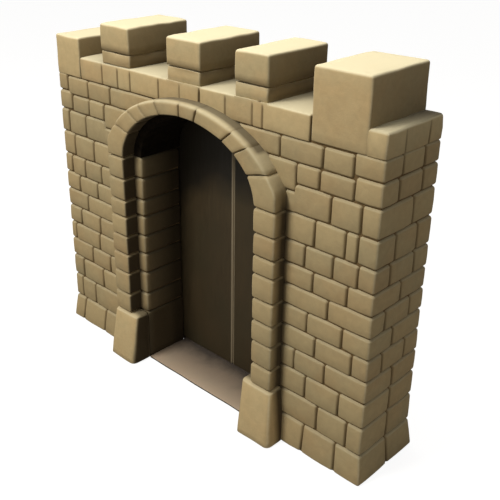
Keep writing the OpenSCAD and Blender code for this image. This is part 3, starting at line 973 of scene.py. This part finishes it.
def threshold():
    """A slab between the reveals and a wider one behind them."""
    lo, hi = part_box("threshold")
    half, split_y = OPEN_R - 0.002, STOP_Y + 0.006
    stones = Masonry()
    stones.add((GATE_X - half, lo.y, lo.z), (GATE_X + half, split_y, hi.z),
               edge=0.01, bulge=0.001, tone=0.6)
    stones.add((lo.x, split_y, lo.z), (hi.x, hi.y, hi.z), edge=0.01, bulge=0.001, tone=0)
    return stones.piece("threshold_slab", THRESHOLD_STONE, "masonry", "stone_light", "threshold")


threshold()

# ---- gate leaves ----


def under_arch(x):
    """Height of a leaf's head above a point of its foot."""
    return SPRING_Z + LEAF_RISE * math.sqrt(max(0.0, 1 - ((x - GATE_X) / LEAF_R) ** 2))


def board(bm, xa, xb, y0, y1, z0, bevel):
    """An upright board under the arch, with its edges bevelled."""
    xs = np.linspace(xa, xb, max(2, round(abs(xb - xa) / 0.05) + 1))
    if abs(abs(xs[-1] - GATE_X) - LEAF_R) < 1e-4:
        xs = xs[:-1].tolist() + (xs[-1] - (xs[-1] - xs[-2]) * np.array([0.5, 0.2, 0.05, 0])).tolist()
    outline = [(xa, z0), *[(x, under_arch(x)) for x in xs], (xb, z0)]
    if xb < xa:
        outline = outline[::-1]
    part = bmesh.new()
    prism(part, outline, y0, y1)
    bmesh.ops.remove_doubles(part, verts=part.verts, dist=1e-5)
    bmesh.ops.dissolve_limit(part, angle_limit=0.01, verts=part.verts, edges=part.edges)
    sharp = [e for e in part.edges if len(e.link_faces) == 2 and e.calc_face_angle() > 0.6]
    bmesh.ops.bevel(part, geom=sharp, offset=bevel, segments=4, profile=0.5, affect="EDGES",
                    clamp_overlap=True)
    mesh = mesh_of(part, "board")
    bm.from_mesh(mesh)
    bpy.data.meshes.remove(mesh)


def leaf(side, name):
    """A smooth front of tight boards whose meeting edge is rounded, and plain boards behind."""
    z0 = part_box(f"leaf_{name}")[0].z
    bm = bmesh.new()
    face_y = LEAF_FRONT + LEAF_FACE_T
    board(bm, GATE_X + side * MEET, GATE_X + side * LEAF_R, LEAF_FRONT, face_y, z0, 0.020)
    for a, b in itertools.pairwise(np.linspace(MEET, LEAF_R, 7)):
        xa, xb = GATE_X + side * (a + 0.001), GATE_X + side * (b - 0.001)
        board(bm, xa, xb, face_y - 0.002, LEAF_BACK, z0, 0.006)
    mesh = mesh_of(bm, f"leaf_{name}")
    mesh.shade_smooth()
    mesh.set_sharp_from_angle(angle=math.radians(35))
    return as_piece(f"leaf_boards_{name}", mesh, TIMBER, f"{name}_leaf", "timber", f"leaf_{name}")


for side, name in ((-1, "left"), (1, "right")):
    leaf(side, name)
for name in ("straps_left", "straps_right", "pintles"):
    ironwork = frame["nodes"][name]
    ironwork.data.materials.clear()
    ironwork.data.materials.append(IRON)

# ---- stage, light and camera ----


def stage():
    """The floor: white to the camera, and dull to the light that it throws back."""
    bm = bmesh.new()
    bmesh.ops.create_grid(bm, x_segments=1, y_segments=1, size=60)
    mesh = mesh_of(bm, "floor")
    floor = placed("floor", mesh)
    floor.location.z = -0.002
    n = material_nodes("pale_floor")
    to_camera = n.add("LightPath").outputs["Is Camera Ray"]
    white = n.add("Emission", {"Color": (1, 1, 1, 1), "Strength": 0.90}).outputs[0]
    ground = n.add("BsdfDiffuse", {"Color": (0.28, 0.28, 0.28, 1)}).outputs[0]
    pale = n.add("AddShader", {0: white, 1: ground}).outputs[0]
    dull = n.add("BsdfDiffuse", {"Color": (0.42, 0.40, 0.37, 1)}).outputs[0]
    picked = n.add("MixShader", {0: to_camera, 1: dull, 2: pale}).outputs[0]
    n.tree.links.new(picked, n.tree.nodes["Material Output"].inputs[0])
    mesh.materials.append(n.owner)


def world(strength):
    """A soft, warm sky that lights the gate, and plain white where the sky itself is seen."""
    sky = bpy.data.worlds.new("studio")
    bpy.context.scene.world = sky
    n = Nodes(sky)
    n.tree.nodes.clear()
    rays = n.add("LightPath").outputs
    seen = n.math("MAXIMUM", rays["Is Camera Ray"], rays["Is Glossy Ray"])
    seen = n.math("MAXIMUM", seen, rays["Is Transmission Ray"])
    soft = n.add("Background", {0: (1.0, 0.97, 0.92, 1), 1: strength}).outputs[0]
    white = n.add("Background", {0: (1, 1, 1, 1)}).outputs[0]
    picked = n.add("MixShader", {0: seen, 1: soft, 2: white}).outputs[0]
    n.add("OutputWorld", {0: picked})


def lamp(name, at, towards, size, power, colour=(1, 0.96, 0.88)):
    """A round lamp that looks towards a point."""
    light = bpy.data.lights.new(name, "AREA")
    light.shape, light.size, light.energy, light.color = "DISK", size, power, colour
    obj = placed(name, light)
    obj.location = at
    obj.rotation_euler = (Vector(towards) - Vector(at)).to_track_quat("-Z", "Y").to_euler()


def camera():
    """The camera that sees the gate as the photograph shows it."""
    data = bpy.data.cameras.new("camera")
    data.lens = 55.5
    data.shift_x, data.shift_y = 0.055, -0.0506
    down, turn = 23.84, 44.99
    obj = placed("camera", data)
    obj.location = (6.522, -6.364, 6.328)
    obj.rotation_euler = (math.radians(90 - down), 0, math.radians(turn))
    bpy.context.scene.camera = obj


stage()
world(0.26)
lamp("key", (-3.5, -12.0, 16.0), (0, 0, 2), 6.0, 2250)
lamp("top", (0, 0.5, 12), (0, 0.2, 3), 6.0, 420)
camera()
bpy.context.scene.view_settings.view_transform = "Standard"
